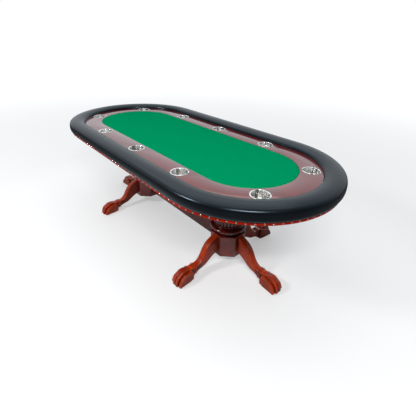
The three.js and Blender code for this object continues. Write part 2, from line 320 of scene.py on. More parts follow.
def new_group(name, inputs, outputs):
    """A shader node group with named sockets. Gives the tree, its inputs and its output node."""
    tree = bpy.data.node_groups.new(name, "ShaderNodeTree")
    for label, (kind, value) in inputs.items():
        socket = tree.interface.new_socket(name=label, in_out="INPUT", socket_type=kind)
        if value is not None:
            socket.default_value = value
    for label, kind in outputs.items():
        tree.interface.new_socket(name=label, in_out="OUTPUT", socket_type=kind)
    return tree, tree.nodes.new("NodeGroupInput").outputs, tree.nodes.new("NodeGroupOutput")


def group(tree, shared, **inputs):
    """A shared group placed in a material's tree. Gives its outputs."""
    return node(tree, "ShaderNodeGroup", inputs, node_tree=shared).outputs


def math_node(tree, operation, first, second):
    return node(tree, "ShaderNodeMath", {0: first, 1: second}, operation=operation).outputs[0]


def ranged(tree, value, low, high, new_low=0.0, new_high=1.0):
    """A value moved from one range to another and held within it."""
    inputs = {
        "Value": value, "From Min": low, "From Max": high, "To Min": new_low, "To Max": new_high,
    }
    return node(tree, "ShaderNodeMapRange", inputs).outputs["Result"]


def noise(tree, vector, scale, detail, distortion=0.0):
    inputs = {"Vector": vector, "Scale": scale, "Detail": detail, "Distortion": distortion}
    return node(tree, "ShaderNodeTexNoise", inputs).outputs["Fac"]


def mixed(tree, factor, first, second):
    """The first colour where the factor is 0, and the second where it is 1."""
    mix = node(tree, "ShaderNodeMix", data_type="RGBA")
    colours = [socket for socket in mix.inputs if socket.type == "RGBA"]
    for socket, value in zip([mix.inputs[0], *colours], [factor, first, second]):
        feed(tree, value, socket)
    return next(socket for socket in mix.outputs if socket.type == "RGBA")


COLOUR = "NodeSocketColor"
VALUE = "NodeSocketFloat"
VECTOR = "NodeSocketVector"


def make_wood_grain():
    """Streaks, figure and pores along the stretched direction of the vector."""
    inputs = {"Vector": (VECTOR, None), "Light": (COLOUR, None), "Dark": (COLOUR, None)}
    tree, given, put = new_group("wood_grain", inputs, {"Color": COLOUR, "Height": VALUE})
    streaks = noise(tree, given["Vector"], 16.0, 5.0, 0.8)
    waves = {
        "Vector": given["Vector"], "Scale": 4.5, "Distortion": 7.0, "Detail": 3.0, "Detail Scale": 1.6,
    }
    figure = node(
        tree, "ShaderNodeTexWave", waves, wave_type="BANDS", bands_direction="DIAGONAL"
    ).outputs["Fac"]
    pores = noise(tree, given["Vector"], 240.0, 2.0)
    broad = math_node(tree, "MULTIPLY", streaks, 0.65)
    lined = math_node(tree, "MULTIPLY", figure, 0.3)
    toned = math_node(tree, "ADD", broad, lined)
    fine = math_node(tree, "MULTIPLY", pores, 0.15)
    factor = ranged(tree, math_node(tree, "ADD", toned, fine), 0.3, 0.78)
    tree.links.new(mixed(tree, factor, given["Dark"], given["Light"]), put.inputs["Color"])
    tree.links.new(pores, put.inputs["Height"])
    return tree


def make_carving_shade():
    """Masks for the ridges, where stain is worn back and a highlight is painted, and for the grooves,
    where stain collects and shade is painted.
    """
    inputs = {"Vector": (VECTOR, None)}
    tree, given, put = new_group("carving_shade", inputs, {"Ridge and highlight": VALUE, "Groove and shade": VALUE})
    point = node(tree, "ShaderNodeNewGeometry").outputs["Pointiness"]
    patchy = ranged(tree, noise(tree, given["Vector"], 30.0, 2.0), 0.3, 0.6, 0.5, 1.0)
    # Ridges from pointiness, in patches: worn-back stain and a painted highlight.
    ridge_and_highlight = math_node(tree, "MULTIPLY", ranged(tree, point, 0.503, 0.54), patchy)
    # Ambient occlusion in the grooves: painted shade, with the stain that collects there.
    shaded_hollow = node(
        tree, "ShaderNodeAmbientOcclusion", {"Distance": 14 * MM}, samples=8, only_local=True
    ).outputs["AO"]
    groove_and_shade = math_node(
        tree, "MAXIMUM", ranged(tree, point, 0.494, 0.455), ranged(tree, shaded_hollow, 0.72, 0.42)
    )
    tree.links.new(ridge_and_highlight, put.inputs["Ridge and highlight"])
    tree.links.new(groove_and_shade, put.inputs["Groove and shade"])
    return tree


def make_handling():
    """Roughness that varies as a wiped and handled surface does."""
    inputs = {
        "Vector": (VECTOR, None), "Scale": (VALUE, 8.0), "Smooth": (VALUE, 0.1), "Rough": (VALUE, 0.2),
    }
    tree, given, put = new_group("handling", inputs, {"Roughness": VALUE, "Mask": VALUE})
    cloud = ranged(tree, noise(tree, given["Vector"], given["Scale"], 4.0, 0.4), 0.35, 0.7)
    span = math_node(tree, "SUBTRACT", given["Rough"], given["Smooth"])
    rough = math_node(tree, "ADD", math_node(tree, "MULTIPLY", cloud, span), given["Smooth"])
    tree.links.new(rough, put.inputs["Roughness"])
    tree.links.new(cloud, put.inputs["Mask"])
    return tree


def make_leather_grain():
    """The pebbled grain of vinyl: small cells with fine creases between them."""
    inputs = {"Vector": (VECTOR, None), "Scale": (VALUE, 600.0)}
    tree, given, put = new_group("leather_grain", inputs, {"Height": VALUE, "Tone": VALUE})
    wander = node(
        tree, "ShaderNodeTexNoise", {"Vector": given["Vector"], "Scale": 90.0, "Detail": 2.0}
    ).outputs["Color"]
    small = node(
        tree, "ShaderNodeVectorMath", {0: wander, "Scale": 4 * MM}, operation="SCALE"
    ).outputs[0]
    place = node(
        tree, "ShaderNodeVectorMath", {0: given["Vector"], 1: small}, operation="ADD"
    ).outputs[0]
    cells = node(
        tree, "ShaderNodeTexVoronoi", {"Vector": place, "Scale": given["Scale"]}, feature="SMOOTH_F1"
    ).outputs["Distance"]
    tree.links.new(math_node(tree, "SUBTRACT", 1.0, cells), put.inputs["Height"])
    tree.links.new(noise(tree, given["Vector"], 5.0, 4.0), put.inputs["Tone"])
    return tree


def make_cloth_weave():
    """Diagonal dots of a woven cloth, with the thread's own unevenness."""
    inputs = {"Vector": (VECTOR, None), "Scale": (VALUE, 90.0)}
    tree, given, put = new_group("cloth_weave", inputs, {"Height": VALUE, "Tone": VALUE})
    turned_vector = node(
        tree, "ShaderNodeMapping", {"Vector": given["Vector"], "Rotation": (0, 0, math.radians(45))}
    ).outputs[0]
    bands = [
        node(
            tree, "ShaderNodeTexWave",
            {"Vector": turned_vector, "Scale": given["Scale"], "Distortion": 0.0, "Detail": 0.0},
            wave_type="BANDS", bands_direction=direction,
        ).outputs["Fac"]
        for direction in ("X", "Y")
    ]
    dots = math_node(tree, "MULTIPLY", *bands)
    slub = noise(tree, given["Vector"], 160.0, 3.0)
    tone = math_node(tree, "MULTIPLY", ranged(tree, slub, 0.3, 0.7, 0.75, 1.0), dots)
    tree.links.new(dots, put.inputs["Height"])
    tree.links.new(tone, put.inputs["Tone"])
    return tree


WOOD_GRAIN = make_wood_grain()
CARVING_SHADE = make_carving_shade()
HANDLING = make_handling()
LEATHER_GRAIN = make_leather_grain()
CLOTH_WEAVE = make_cloth_weave()


# ---- Finishes ----

def new_finish(name, **constants):
    """A material with its Principled BSDF and its object coordinates."""
    material = bpy.data.materials.new(name)
    material.use_nodes = True
    tree = material.node_tree
    shader = tree.nodes["Principled BSDF"]
    for socket, value in constants.items():
        shader.inputs[socket.replace("_", " ")].default_value = value
    return material, tree, shader, node(tree, "ShaderNodeTexCoord").outputs["Object"]


def stretched(tree, vector, scale):
    """Coordinates that draw a pattern out along the axes with a small scale."""
    return node(tree, "ShaderNodeMapping", {"Vector": vector, "Scale": scale}).outputs[0]


def bump(tree, shader, height, strength, distance):
    inputs = {"Height": height, "Strength": strength, "Distance": distance}
    tree.links.new(node(tree, "ShaderNodeBump", inputs).outputs[0], shader.inputs["Normal"])


def lacquered_wood(name, light, dark, along, gloss, coat=1.0, rubbed_and_lit=None, gathered_and_shaded=None):
    """Stained wood under lacquer.

    along is the grain's stretch, and gloss the least and most roughness. Carved or turned wood takes a
    lighter colour for its ridges, where the stain is worn through and a highlight is painted, and,
    fainter, for its lowest parts as painted light; and a darker colour for its grooves, where stain
    collects and shade is painted.
    """
    material, tree, shader, place = new_finish(
        name, Coat_Weight=coat, Coat_Roughness=0.04, Coat_IOR=1.56, Specular_IOR_Level=0.35 * coat
    )
    grain = group(tree, WOOD_GRAIN, Vector=stretched(tree, place, along), Light=light, Dark=dark)
    colour = grain["Color"]
    if rubbed_and_lit:
        shade = group(tree, CARVING_SHADE, Vector=place)
        height = node(tree, "ShaderNodeSeparateXYZ", {0: place}).outputs["Z"]
        # Painted light: from 0.11 m down to 0.07 m the wood lightens, up to 0.35 of the way to the
        # lighter colour.
        colour = mixed(tree, ranged(tree, height, 0.11, 0.07, 0.0, 0.35), colour, rubbed_and_lit)
        # Ridges: stain worn back, and a painted highlight.
        colour = mixed(tree, shade["Ridge and highlight"], colour, rubbed_and_lit)
        # Grooves: stain that collects there, and painted shade.
        colour = mixed(tree, shade["Groove and shade"], colour, gathered_and_shaded)
    handled = group(tree, HANDLING, Vector=place, Scale=6.0, Smooth=gloss[0], Rough=gloss[1])
    tree.links.new(colour, shader.inputs["Base Color"])
    tree.links.new(handled["Roughness"], shader.inputs["Roughness"])
    bump(tree, shader, grain["Height"], 0.08, 0.1 * MM)
    return material


ALONG_X = (0.1, 1.0, 1.0)
ALONG_Z = (1.0, 1.0, 0.1)


def vinyl_finish():
    material, tree, shader, place = new_finish(
        "black_vinyl", Specular_IOR_Level=0.42, Specular_Tint=(0.68, 0.87, 1.0, 1.0)
    )
    grain = group(tree, LEATHER_GRAIN, Vector=place, Scale=620.0)
    tone = ranged(tree, grain["Tone"], 0.3, 0.7)
    colour = mixed(tree, tone, (0.002, 0.003, 0.0045, 1), (0.004, 0.006, 0.009, 1))
    tree.links.new(colour, shader.inputs["Base Color"])
    handled = group(tree, HANDLING, Vector=place, Scale=7.0, Smooth=0.23, Rough=0.29)
    tree.links.new(handled["Roughness"], shader.inputs["Roughness"])
    bump(tree, shader, grain["Height"], 0.16, 0.22 * MM)
    return material


def cloth_finish():
    material, tree, shader, place = new_finish(
        "green_speed_cloth", Specular_IOR_Level=0.0, Sheen_Weight=0.04, Sheen_Roughness=0.5,
        Sheen_Tint=(0.0, 1.0, 0.6, 1.0),
    )
    weave = group(tree, CLOTH_WEAVE, Vector=place, Scale=70.0)
    colour = mixed(tree, weave["Tone"], (0.0, 0.19, 0.068, 1), (0.0, 0.42, 0.172, 1))
    worn = group(tree, HANDLING, Vector=place, Scale=3.0, Smooth=0.82, Rough=0.95)
    tint = mixed(tree, math_node(tree, "MULTIPLY", worn["Mask"], 0.12), colour, (0.0, 0.27, 0.13, 1))
    tree.links.new(tint, shader.inputs["Base Color"])
    tree.links.new(worn["Roughness"], shader.inputs["Roughness"])
    bump(tree, shader, weave["Height"], 0.35, 0.3 * MM)
    return material


def steel_finish(
    name, light, dark, smooth, rough, along, scale=420.0, detail=3.0, brushed=0.0, bands=(0.35, 0.65)
):
    """Metal with light and dark streaks: on the cups painted reflections, on other metal its own uneven
    tone. bands holds the noise at which it is all dark, and all light.
    """
    material, tree, shader, place = new_finish(name, Metallic=1.0, Anisotropic=brushed)
    lines_and_reflections = ranged(tree, noise(tree, stretched(tree, place, along), scale, detail), *bands)
    handled = group(tree, HANDLING, Vector=place, Scale=14.0, Smooth=smooth, Rough=rough)
    tree.links.new(mixed(tree, lines_and_reflections, dark, light), shader.inputs["Base Color"])
    tree.links.new(handled["Roughness"], shader.inputs["Roughness"])
    bump(tree, shader, lines_and_reflections, 0.02, 0.03 * MM)
    return material


def plywood_finish(name, light, dark):
    """Rotary-cut veneer on the faces, with its plies as bands up the edge."""
    material, tree, shader, place = new_finish(name, Specular_IOR_Level=0.3)
    grain = group(tree, WOOD_GRAIN, Vector=stretched(tree, place, ALONG_X), Light=light, Dark=dark)
    plies = node(
        tree, "ShaderNodeTexWave", {"Vector": place, "Scale": 90.0, "Distortion": 0.6},
        wave_type="BANDS", bands_direction="Z",
    ).outputs["Fac"]
    banded = math_node(tree, "MULTIPLY", plies, 0.25)
    tree.links.new(mixed(tree, banded, grain["Color"], dark), shader.inputs["Base Color"])
    handled = group(tree, HANDLING, Vector=place, Scale=5.0, Smooth=0.55, Rough=0.75)
    tree.links.new(handled["Roughness"], shader.inputs["Roughness"])
    bump(tree, shader, grain["Height"], 0.25, 0.2 * MM)
    return material


def speckled_finish(name, light, dark, scale, smooth, rough, depth):
    """Foam cells or moulded nylon: small pits over an even colour."""
    material, tree, shader, place = new_finish(name, Specular_IOR_Level=0.3)
    pits = node(tree, "ShaderNodeTexVoronoi", {"Vector": place, "Scale": scale}).outputs["Distance"]
    tree.links.new(mixed(tree, pits, dark, light), shader.inputs["Base Color"])
    handled = group(tree, HANDLING, Vector=place, Scale=9.0, Smooth=smooth, Rough=rough)
    tree.links.new(handled["Roughness"], shader.inputs["Roughness"])
    bump(tree, shader, pits, 0.4, depth)
    return material


VINYL = vinyl_finish()
CLOTH = cloth_finish()
TRACK_LACQUER = lacquered_wood(
    "racetrack_lacquer", (0.16, 0.005, 0.004, 1), (0.12, 0.004, 0.003, 1), ALONG_X, (0.12, 0.16)
)
BAND_LACQUER = lacquered_wood(
    "edge_band_lacquer", (0.56, 0.018, 0.001, 1), (0.4, 0.01, 0.001, 1), ALONG_X, (0.3, 0.4),
    coat=0.1,
)
# Its bright orange for ridges and low parts is worn stain and painted light; its near-black for grooves
# is collected stain and painted shade.
CARVED_MAHOGANY = lacquered_wood(
    "carved_mahogany", (0.32, 0.018, 0.004, 1), (0.11, 0.005, 0.002, 1), ALONG_Z, (0.22, 0.3),
    coat=0.5, rubbed_and_lit=(0.6, 0.06, 0.006, 1), gathered_and_shaded=(0.004, 0.001, 0.001, 1),
)
# Painted shade: a darker copy of the carved mahogany for the block, collar, urn and capital, which
# stand in the top's shade. Its ridge and groove colours are painted light and shade as above.
SHADED_TURNED_MAHOGANY = lacquered_wood(
    "shaded_turned_mahogany", (0.13, 0.006, 0.003, 1), (0.05, 0.002, 0.001, 1), ALONG_Z, (0.16, 0.24),
    rubbed_and_lit=(0.26, 0.02, 0.006, 1), gathered_and_shaded=(0.002, 0.001, 0.001, 1),
)
BEAM_MAHOGANY = lacquered_wood(
    "beam_mahogany", (0.16, 0.008, 0.003, 1), (0.06, 0.003, 0.002, 1), ALONG_X, (0.22, 0.3),
    coat=0.7,
)
# The cups' streaks run up the wall, light and dark: painted reflections.
CUP_STEEL = steel_finish(
    "cup_steel", (1.0, 0.99, 0.97, 1), (0.3, 0.28, 0.26, 1), 0.18, 0.24, (1.0, 1.0, 0.02),
    scale=52.0, detail=1.0, brushed=0.8, bands=(0.36, 0.48),
)
NAIL_STEEL = steel_finish(
    "nail_nickel", (0.95, 0.94, 0.91, 1), (0.8, 0.79, 0.77, 1), 0.12, 0.24, (1.0, 1.0, 1.0)
)
ZINC = steel_finish(
    "zinc_plate", (0.66, 0.67, 0.68, 1), (0.42, 0.43, 0.46, 1), 0.3, 0.5, (1.0, 1.0, 0.3)
)
STAINED_PLYWOOD = plywood_finish("stained_plywood", (0.1, 0.028, 0.016, 1), (0.04, 0.01, 0.007, 1))
RAW_PLYWOOD = plywood_finish("birch_plywood", (0.55, 0.38, 0.2, 1), (0.38, 0.24, 0.12, 1))
FOAM = speckled_finish(
    "field_foam", (0.72, 0.69, 0.58, 1), (0.6, 0.56, 0.46, 1), 900.0, 0.85, 0.98, 0.3 * MM
)
NYLON = speckled_finish(
    "glide_nylon", (0.05, 0.05, 0.05, 1), (0.03, 0.03, 0.03, 1), 1500.0, 0.55, 0.75, 0.05 * MM
)


# ---- The top ----

def armrest():
    """Foam under tight vinyl: a crowned top, a full outer shoulder and tucked-in lower edges."""
    outer = RAIL_RADIUS / MM
    inner = TRACK_HIGH.y / MM + 1
    low = RAIL_LOW.z / MM
    high = RAIL_HIGH.z / MM
    core_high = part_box("rail_core")[1]
    core_out = core_high.y / MM + 1
    core_in = core_out - CORE_CHANNEL
    core_top = core_high.z / MM + 1
    section = outline(
        [(core_out, low), (outer - 15, low)],
        [(outer - 15, low), (outer - 8, low + 3), (outer - 3, low + 11), (outer - 0.6, low + 22),
         (outer, low + 34), (outer - 0.8, low + 46), (outer - 4, high - 18), (outer - 11, high - 10.5),
         (outer - 22, high - 5.5), (outer - 40, high - 1.4), (outer - 60, high),
         (outer - 80, high - 1.6), (inner + 24, high - 5.5), (inner + 11, high - 11),
         (inner + 3, high - 20), (inner, high - 33)],
        [(inner, high - 34), (inner, low)],
        [(inner, low), (core_in, low)],
        [(core_in, low), (core_in, core_top)],
        [(core_in, core_top), (core_out, core_top)],
        [(core_out, core_top), (core_out, low)],
    )
    piece = ring("armrest", section)
    complete(piece, "frame", VINYL, ["rail_pad"])


def edge_band():
    """A flat moulding with eased edges round the deck board."""
    outer = BAND_HIGH.y / MM
    low = BAND_LOW.z / MM
    high = BAND_HIGH.z / MM
    section = outline(
        [(outer - 10, low), (outer - 2, low)],
        [(outer - 2, low), (outer - 0.5, low + 0.6), (outer, low + 2.2)],
        [(outer, low + 2.2), (outer, high - 2.2)],
        [(outer, high - 2.2), (outer - 0.5, high - 0.6), (outer - 2, high)],
        [(outer - 2, high), (outer - 10, high)],
        [(outer - 10, high), (outer - 10, low)],
        steps=3,
    )
    piece = ring("edge_moulding", section)
    complete(piece, "frame", BAND_LACQUER, ["edge_band"])


def round_the_band(distance):
    """A point on the band's face and the way it faces, at a distance along it."""
    radius = BAND_HIGH.y
    side = 2 * STRAIGHT
    end = math.pi * radius
    half = side + end
    flip = -1 if distance >= half else 1
    along = distance % half
    if along < side:
        facing = -math.pi / 2
        spot = Vector((along - STRAIGHT, -radius, 0))
    else:
        facing = (along - side) / radius - math.pi / 2
        spot = Vector((STRAIGHT + radius * math.cos(facing), radius * math.sin(facing), 0))
    return spot * flip, facing + (math.pi if flip < 0 else 0)


def nail_heads():
    """Domed nail heads at even spacing round the band."""
    bpy.ops.object.select_all(action="DESELECT")
    bpy.ops.mesh.primitive_uv_sphere_add(
        segments=10, ring_count=6, radius=NAIL_RADIUS, location=(0, 0, 0)
    )
    nail = bpy.context.object
    bpy.ops.object.mode_set(mode="EDIT")
    bpy.ops.mesh.select_all(action="SELECT")
    bpy.ops.mesh.bisect(plane_co=(0, 0, 0), plane_no=(0, 0, 1), use_fill=True, clear_inner=True)
    bpy.ops.mesh.select_all(action="SELECT")
    bpy.ops.transform.resize(value=(1, 1, NAIL_HEIGHT / NAIL_RADIUS), center_override=(0, 0, 0))
    close_form()
    height = (BAND_LOW.z + BAND_HIGH.z) / 2
    length = 4 * STRAIGHT + 2 * math.pi * BAND_HIGH.y
    nails = []
    for count in range(NAIL_COUNT):
        spot, facing = round_the_band((count + NAIL_START) * length / NAIL_COUNT)
        turn = Matrix.Rotation(facing, 4, "Z") @ Matrix.Rotation(math.pi / 2, 4, "Y")
        move = Matrix.Translation(spot + Vector((0, 0, height))) @ turn
        nails.append(copied(nail, f"nail_{count + 1}", move))
    bpy.data.objects.remove(nail)
    complete(joined(nails, "nail_heads"), "frame", NAIL_STEEL, smooth=60)


def racetrack():
    """The lacquered board, its edges eased, with a hole for each cup."""
    outer = TRACK_HIGH.y / MM
    inner = CLOTH_HIGH.y / MM + 1
    low = TRACK_LOW.z / MM
    high = TRACK_HIGH.z / MM
    section = outline(
        [(inner, low), (outer, low)],
        [(outer, low), (outer, high - 1)],
        [(outer, high - 1), (outer - 0.3, high - 0.3), (outer - 1, high)],
        [(outer - 1, high), (inner + 2, high)],
        [(inner + 2, high), (inner + 0.6, high - 0.6), (inner, high - 2)],
        [(inner, high - 2), (inner, low)],
        steps=3,
    )
    piece = ring("racetrack_board", section)
    for count in range(CUP_COUNT):
        cup_low, cup_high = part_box(f"cup_holder_{count + 1}")
        middle = (cup_low + cup_high) / 2
        place = (middle.x, middle.y, TRACK_LOW.z)
        drill(piece, place, CUP_HOLE_RADIUS, CUP_HOLE_DEPTH, CUP_STEPS)
    complete(piece, "frame", TRACK_LACQUER, ["racetrack"])


def playing_cloth():
    """Cloth pulled over the foam and turned down round its edge."""
    rim = CLOTH_HIGH.y / MM
    top = CLOTH_HIGH.z / MM
    tuck = FOAM_LOW.z / MM
    section = outline(
        [(rim, tuck), (rim, top - 4)],
        [(rim, top - 4), (rim - 1, top - 1.4), (rim - 4, top - 0.2), (rim - 14, top)],
    )
    piece = swept("cloth_cover", section)
    bpy.ops.mesh.select_all(action="SELECT")
    bpy.ops.mesh.remove_doubles(threshold=MERGED)
    level = (top - 0.1) * MM
    pick(
        piece, "EDGE",
        lambda edge: edge.is_boundary and min(vertex.co.z for vertex in edge.verts) > level,
    )
    bpy.ops.mesh.edge_face_add()
    close_form()
    apply_modifier(piece, "SOLIDIFY", thickness=CLOTH_THICKNESS, offset=-1.0)
    complete(piece, "playfield", CLOTH, ["playfield_cloth"])


def cup_holders():
    """Spun stainless cups that hang by a crowned flange with a thin edge."""
    first_low, first_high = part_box("cup_holder_1")
    high = first_high.z / MM
    low = first_low.z / MM
    profile = outline(
        [(0, low), (40, low)],
        [(40, low), (44, low + 1.5), (46, low + 6)],
        [(46, low + 6), (46, high - 1.4)],
        [(46, high - 1.4), (53.7, high - 1.4)],
        [(53.7, high - 1.4), (54, high - 1.1), (53.2, high - 0.6), (51.4, high - 0.1), (49.6, high),
         (47.6, high - 0.4), (46, high - 1.6), (45.1, high - 4)],
        [(45.1, high - 4), (45.1, low + 7)],
        [(45.1, low + 7), (43.5, low + 2.8), (39, low + 1)],
        [(39, low + 1), (0, low + 1)],
        steps=3,
    )
    cup = turned("cup_pattern", profile, CUP_STEPS)
    for count in range(CUP_COUNT):
        node_name = f"cup_holder_{count + 1}"
        cup_low, cup_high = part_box(node_name)
        middle = (cup_low + cup_high) / 2
        move = Matrix.Translation((middle.x, middle.y, 0))
        piece = copied(cup, f"cup_liner_{count + 1}", move)
        complete(piece, f"cup_{count + 1}", CUP_STEEL, [node_name], smooth=50)
    bpy.data.objects.remove(cup)


# ---- The pedestals ----

def bored(name, node_name, runs, steps=TURNED_STEPS):
    """A turning with a hole for the tie rod. The runs start at the node's own lower end."""
    low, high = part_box(node_name)
    profile = [(radius, low.z + up) for radius, up in outline(*runs)]
    last = profile[-1][1]
    closed = [(TURNED_BORE, low.z), *profile, (TURNED_BORE, last), (TURNED_BORE, low.z)]
    return turned(name, closed, steps, x=(low.x + high.x) / 2)


COLLAR_RUNS = [
    [(84, 0), (91, 1), (95.5, 5)],
    [(95.5, 5), (100, 7), (101.8, 12), (100, 17), (95.5, 19)],
    [(95.5, 19), (103, 20), (111, 23.5)],
    [(111, 23.5), (119, 26), (123.2, 32), (123.2, 38.5), (119, 44), (110, 47)],
    [(110, 47), (101, 48), (96, 52)],
    [(96, 52), (99.5, 54.5), (100, 59.6)],
]
URN_RUNS = [
    [(92, 0), (98, 1), (102, 6), (107.5, 28), (113, 55), (117.5, 85), (119, 110), (117.5, 140),
     (112, 165), (103, 184)],
    [(103, 184), (100, 187.5), (96, 188)],
    [(96, 188), (89, 193), (85, 202), (84, 208)],
    [(84, 208), (82, 212.6)],
]
CAPITAL_RUNS = [
    [(78, 0), (86, 1.5), (90, 7), (88.5, 13.5), (82, 17)],
    [(82, 17), (68, 22), (59.5, 33), (58, 46), (62, 76), (78, 98), (104, 112)],
    [(104, 112), (110, 114.5), (112, 120), (110, 126)],
    [(110, 126), (120, 127.5), (128, 132), (130, 138), (128, 144)],
]


def from_groove(point, x):
    """How many columns a point on the urn's outside lies from the middle of its groove."""
    if math.hypot(point.x - x, point.y) <= URN_INSIDE:
        return None
    column = round(math.atan2(point.y, point.x - x) / FLUTE_STEP) % FLUTE_COLUMNS
    return min(column, FLUTE_COLUMNS - column)


def fluted_urn(name, node_name):
    """An urn whose reeds are made by drawing in the columns between them."""
    piece = bored(name, node_name, URN_RUNS, steps=FLUTES * FLUTE_COLUMNS)
    low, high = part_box(node_name)
    x = (low.x + high.x) / 2
    only(piece)
    bpy.ops.object.mode_set(mode="EDIT")
    for reach in range(FLUTE_COLUMNS // 2):
        across = 1 - reach / (FLUTE_COLUMNS / 2)
        depth = FLUTE_DEPTH * (1 - math.sqrt(1 - across ** 2))
        shrink = math.sqrt(1 - depth)
        for inset in (0, FLUTE_END):
            bottom = low.z + FLUTE_LOW + inset
            top = low.z + FLUTE_HIGH - inset
            pick(
                piece, "VERT",
                lambda vertex: from_groove(vertex.co, x) == reach and bottom < vertex.co.z < top,
            )
            bpy.ops.transform.resize(value=(shrink, shrink, 1), center_override=(x, 0, 0))
    close_form()
    return piece


def octagon_block(name, node_name):
    """An eight-sided block with eased edges, bored for the tie rod and sunk for its nut."""
    low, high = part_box(node_name)
    middle = (low + high) / 2
    across = high.y / math.cos(math.pi / 8)
    bpy.ops.object.select_all(action="DESELECT")
    bpy.ops.mesh.primitive_cylinder_add(
        vertices=8, radius=across, depth=high.z - low.z, location=middle, rotation=(0, 0, math.pi / 8)
    )
    piece = bpy.context.object
    piece.name = name
    bpy.ops.object.transform_apply(location=True, rotation=True, scale=True)
    bpy.ops.object.mode_set(mode="EDIT")
    for facing in (-1, 1):
        pick(piece, "FACE", lambda face: face.normal.z * facing > 0.9)
        bpy.ops.mesh.inset(thickness=BLOCK_END_BORDER, depth=0)
        bpy.ops.transform.translate(value=(0, 0, -facing * BLOCK_END_SINK))
    bpy.ops.object.mode_set(mode="OBJECT")
    ease_edges(piece, BLOCK_EASE, 3)
    lower_end = (middle.x, middle.y, low.z)
    drill(piece, lower_end, NUT_WELL_RADIUS, NUT_WELL_DEPTH, BLOCK_HOLE_SIDES)
    drill(piece, middle, BLOCK_BORE, BLOCK_BORE_DEPTH, BLOCK_HOLE_SIDES)
    return piece


def toe(step):
    """One of four toes, at -1.5, -0.5, 0.5 or 1.5 spacings across. The outer two are shorter."""
    outer = abs(step) > 1
    reach = 434 if outer else 443
    crest = 70 if outer else 87
    piece = slab("toe", outline(
        [(338, 4), (reach - 6, 4)],
        [(reach - 6, 4), (reach - 0.5, 8), (reach, 18), (reach - 3, crest - 50),
         (reach - 10, crest - 32), (reach - 22, crest - 19), (reach - 35, crest - 12),
         (reach - 46, crest - 4), (reach - 64, crest), (350, crest - 2), (338, crest - 8)],
        [(338, crest - 8), (338, 4)],
    ), TOE_WIDTH)
    ease_edges(piece, 8 * MM, 4)
    across = Vector((0, step * TOE_SPACING, 0))
    splay = Matrix.Rotation(step * TOE_SPLAY, 4, "Z")
    piece.data.transform(
        Matrix.Translation(TOE_PIVOT + across) @ splay @ Matrix.Translation(-TOE_PIVOT)
    )
    return piece


def ankle_ring(out, low, high):
    """A raised band across the leg above the paw."""
    middle = Vector((out * MM, 0, (low + high) / 2 * MM))
    size = (ANKLE_RING_LENGTH, ANKLE_RING_WIDTH, (high - low) * MM)
    piece = cuboid("ankle_ring", middle, size)
    bpy.ops.mesh.bevel(offset=2 * MM, segments=2, affect="EDGES")
    settle()
    return piece


def leg_pattern():
    """One leg with its carved paw, pointing along +X from the pedestal's axis."""
    leg = slab("leg_pattern", outline(
        [(LEG_ROOT, 105), (134, 101), (158, 91), (184, 75), (212, 57), (236, 48), (262, 42.5),
         (296, 31), (335, 20)],
        [(335, 20), (350, 76)],
        [(350, 76), (320, 82), (292, 79.5), (268, 84), (248, 98), (232, 121), (217, 149), (200, 174),
         (176, 195), (146, 210), (LEG_ROOT, 223)],
        [(LEG_ROOT, 223), (LEG_ROOT, 105)],
    ), LEG_WIDTH)
    ease_edges(leg, 3.5 * MM, 3)
    heel = slab("heel", outline(
        [(319, 6), (322, 4)],
        [(322, 4), (405, 4)],
        [(405, 4), (409, 40)],
        [(409, 40), (398, 56), (376, 66), (352, 73), (334, 76)],
        [(334, 76), (319, 50)],
        [(319, 50), (317, 28), (319, 6)],
    ), HEEL_WIDTH)
    ease_edges(heel, 9 * MM, 4)
    toes = [toe(step) for step in (-1.5, -0.5, 0.5, 1.5)]
    rings = [ankle_ring(*measures) for measures in ANKLE_RINGS]
    paw = joined([heel, *toes, *rings], "paw")
    apply_modifier(paw, "REMESH", mode="VOXEL", voxel_size=PAW_VOXEL)
    apply_modifier(paw, "SMOOTH", factor=0.5, iterations=3)
    cut(leg, paw, "UNION")
    return leg


def pedestals():
    """Block, collar, urn and capital on each side, with a leg to the front, back and outside."""
    pattern = leg_pattern()
    for side, outward in SIDES.items():
        pieces = {
            "block": octagon_block(f"{side}_octagon_block", f"{side}_block"),
            "collar": bored(f"{side}_turned_collar", f"{side}_collar", COLLAR_RUNS),
            "urn": fluted_urn(f"{side}_fluted_urn", f"{side}_urn"),
            "capital": bored(f"{side}_turned_capital", f"{side}_capital", CAPITAL_RUNS),
        }
        for part, piece in pieces.items():
            complete(piece, "frame", SHADED_TURNED_MAHOGANY, [f"{side}_{part}"])
        low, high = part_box(f"{side}_block")
        centre = Matrix.Translation(((low.x + high.x) / 2, 0, 0))
        for direction, degrees in {**LEG_TURNS, "outer": outward}.items():
            move = centre @ Matrix.Rotation(math.radians(degrees), 4, "Z")
            leg = copied(pattern, f"{side}_paw_leg_{direction}", move)
            complete(leg, "frame", CARVED_MAHOGANY, [f"{side}_leg_{direction}"])
    bpy.data.objects.remove(pattern)


def stretcher_board():
    """The board between the two blocks, its edges eased."""
    low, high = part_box("stretcher")
    piece = cuboid("stretcher_board", (low + high) / 2, high - low)
    settle()
    ease_edges(piece, 4 * MM, 3)
    complete(piece, "frame", BEAM_MAHOGANY, ["stretcher"])


CAD_FINISHES = {
    "deck_board": STAINED_PLYWOOD,
    "riser_board": STAINED_PLYWOOD,
    "rail_core": RAW_PLYWOOD,
    "playfield_board": RAW_PLYWOOD,
    "playfield_foam": FOAM,
    "deck_batten_front": STAINED_PLYWOOD,
    "deck_batten_back": STAINED_PLYWOOD,
    "left_top_plate": BEAM_MAHOGANY,
    "right_top_plate": BEAM_MAHOGANY,
}


def finish_cad_nodes():
    """Gives every CAD node that stays in view its own finish."""
    for name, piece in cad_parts.items():
        material = CAD_FINISHES.get(name)
        if "glide" in name:
            material = NYLON
        if "bolt" in name or "tie_rod" in name:
            material = ZINC
        if material:
            piece.data.materials.clear()
            piece.data.materials.append(material)


